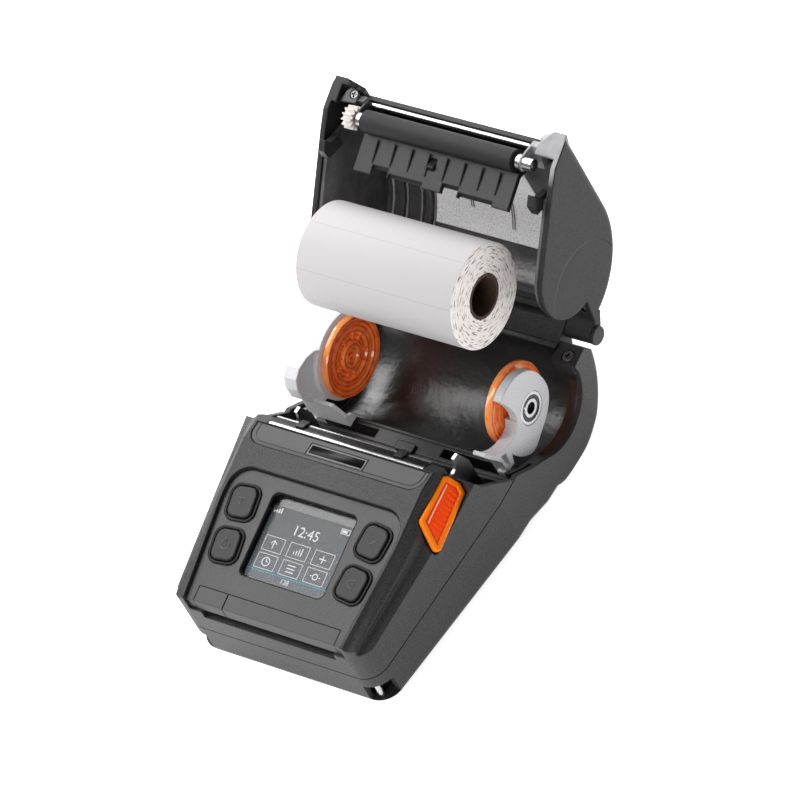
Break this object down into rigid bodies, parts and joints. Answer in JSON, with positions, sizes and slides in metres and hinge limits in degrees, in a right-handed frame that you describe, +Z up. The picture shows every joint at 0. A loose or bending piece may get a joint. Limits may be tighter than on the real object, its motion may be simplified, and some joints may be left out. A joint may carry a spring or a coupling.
{
  "type": "portable label printer",
  "caption": "Portable label printer with its hinged cover open, a label roll over the bay, a screen with four keys and an orange opening lever.",
  "frame": {"origin": "centre of the printer's flat underside, on the surface it stands on", "axes": "+X to the operator's right, +Y towards the cover hinge, +Z up"},
  "size_m": [0.1192, 0.2056, 0.1244],
  "materials": {
    "housing": "fine-textured charcoal moulding",
    "pad": "slightly lighter charcoal moulding",
    "port_rubber": "soft charcoal elastomer",
    "black_gloss": "glossy black moulding",
    "black_matt": "black moulding",
    "glass": "clear screen cover",
    "screen": "lit display panel",
    "key_rubber": "black silicone rubber",
    "board": "green circuit board",
    "steel": "bare steel",
    "screws": "zinc-plated screws",
    "chrome": "polished rod",
    "head": "ceramic thermal head",
    "aluminium": "cast heat sink",
    "light_grey": "speckled light grey moulding",
    "orange": "translucent orange moulding",
    "white_gear": "white gear moulding",
    "platen_rubber": "black platen rubber",
    "paper": "white label paper",
    "core": "dark brown cardboard"
  },
  "bodies": {
    "base": {"lower_housing": "housing", "upper_housing": "housing", "roll_chamber": "black_gloss", "control_pad": "pad", "tear_pad": "pad", "name_plate": "pad", "display_glass": "glass", "display_module": "screen", "tear_bar": "steel", "tear_bar_clips": "black_matt", "print_head": "head", "head_bracket": "aluminium", "head_springs": "steel", "print_frame": "steel", "spool_rail": "black_matt", "media_sensor": "black_matt", "main_board": "board", "key_board": "board", "key_mat": "key_rubber", "battery_pack": "black_matt", "drive_motor": "steel", "lever_spring": "steel", "housing_screws": "screws", "strap_pins": "steel", "port_cover_tab": "port_rubber", "port_block": "black_matt", "hinge_pins": "steel"},
    "cover": {"cover_shell": "housing", "cover_liner": "black_gloss", "cover_panel": "light_grey", "horn_brackets": "black_matt", "peel_bar": "chrome", "platen_bushes": "black_matt", "paper_guide": "black_matt", "gap_sensor": "black_matt", "cover_catches": "black_matt", "cover_screws": "screws"},
    "platen": {"platen_rubber": "platen_rubber", "platen_shaft": "steel", "platen_gear": "white_gear"},
    "roll": {"label_roll": "paper", "roll_core": "core"},
    "lever": {"open_lever": "orange"},
    "latch": {"latch_bar": "steel"},
    "left_holder": {"holder_left": "light_grey", "bearing_left": "steel"},
    "right_holder": {"holder_right": "light_grey", "bearing_right": "steel"},
    "left_disc": {"disc_left": "orange"},
    "right_disc": {"disc_right": "orange"},
    "holder_gear": {"spool_pinion": "white_gear"},
    "idler": {"idler_gear": "white_gear"},
    "pinion": {"motor_pinion": "white_gear"},
    "feed": {"feed_key": "key_rubber"},
    "power": {"power_key": "key_rubber"},
    "enter": {"enter_key": "key_rubber"},
    "back": {"back_key": "key_rubber"},
    "port_flap": {"port_cover": "port_rubber"}
  },
  "joints": [
    {"name": "cover_hinge", "type": "hinge", "parent": "base", "child": "cover", "pos_m": [0, 0.0905, 0.0355], "axis": [-1, 0, 0], "range_deg": [-99, 0]},
    {"name": "roll_drop", "type": "slide", "parent": "base", "child": "roll", "axis": [0, -0.2747, -0.9615], "range_m": [0, 0.05334]},
    {"name": "platen_spin", "type": "hinge", "parent": "cover", "child": "platen", "pos_m": [0, 0.11249, 0.11423], "axis": [1, 0, 0], "continuous": true},
    {"name": "idler_spin", "type": "hinge", "parent": "base", "child": "idler", "pos_m": [-0.0442, 0.0011, 0.0336], "axis": [1, 0, 0], "continuous": true},
    {"name": "motor_spin", "type": "hinge", "parent": "base", "child": "pinion", "pos_m": [-0.0442, -0.0109, 0.0336], "axis": [1, 0, 0], "continuous": true},
    {"name": "lever_press", "type": "slide", "parent": "base", "child": "lever", "axis": [-0.7507, 0, -0.6606], "range_m": [0, 0.0025], "stiffness_N_per_m": 900, "springref_m": -0.0008},
    {"name": "latch_turn", "type": "hinge", "parent": "base", "child": "latch", "pos_m": [0, 0.013, 0.027], "axis": [1, 0, 0], "range_deg": [0, 10.1]},
    {"name": "holder_slide", "type": "slide", "parent": "base", "child": "left_holder", "axis": [1, 0, 0], "range_m": [0, 0.024]},
    {"name": "right_holder_slide", "type": "slide", "parent": "base", "child": "right_holder", "axis": [-1, 0, 0], "range_m": [0, 0.024]},
    {"name": "holder_gear_turn", "type": "hinge", "parent": "base", "child": "holder_gear", "pos_m": [0, 0.0255, 0.0124], "axis": [0, 0, 1], "range_deg": [0, 551]},
    {"name": "left_disc_spin", "type": "hinge", "parent": "left_holder", "child": "left_disc", "pos_m": [-0.0413, 0.051, 0.0345], "axis": [1, 0, 0], "continuous": true},
    {"name": "right_disc_spin", "type": "hinge", "parent": "right_holder", "child": "right_disc", "pos_m": [0.0413, 0.051, 0.0345], "axis": [1, 0, 0], "continuous": true},
    {"name": "feed_press", "type": "slide", "parent": "base", "child": "feed", "axis": [0, 0.2453, -0.9695], "range_m": [0, 0.0012], "stiffness_N_per_m": 600, "springref_m": -0.0006},
    {"name": "power_press", "type": "slide", "parent": "base", "child": "power", "axis": [0, 0.2453, -0.9695], "range_m": [0, 0.0012], "stiffness_N_per_m": 600, "springref_m": -0.0006},
    {"name": "enter_press", "type": "slide", "parent": "base", "child": "enter", "axis": [0, 0.2453, -0.9695], "range_m": [0, 0.0012], "stiffness_N_per_m": 600, "springref_m": -0.0006},
    {"name": "back_press", "type": "slide", "parent": "base", "child": "back", "axis": [0, 0.2453, -0.9695], "range_m": [0, 0.0012], "stiffness_N_per_m": 600, "springref_m": -0.0006},
    {"name": "port_flap_fold", "type": "hinge", "parent": "base", "child": "port_flap", "pos_m": [-0.021, -0.0778, 0.037], "axis": [0, 0, -1], "range_deg": [0, 95]}
  ],
  "couplings": [
    {"joint": "roll_drop", "follows": "cover_hinge", "m_per_rad": -0.030757},
    {"joint": "latch_turn", "follows": "lever_press", "rad_per_m": 69.813},
    {"joint": "right_holder_slide", "follows": "holder_slide", "ratio": 1},
    {"joint": "holder_gear_turn", "follows": "holder_slide", "rad_per_m": 400},
    {"joint": "motor_spin", "follows": "idler_spin", "ratio": -2}
  ]
}
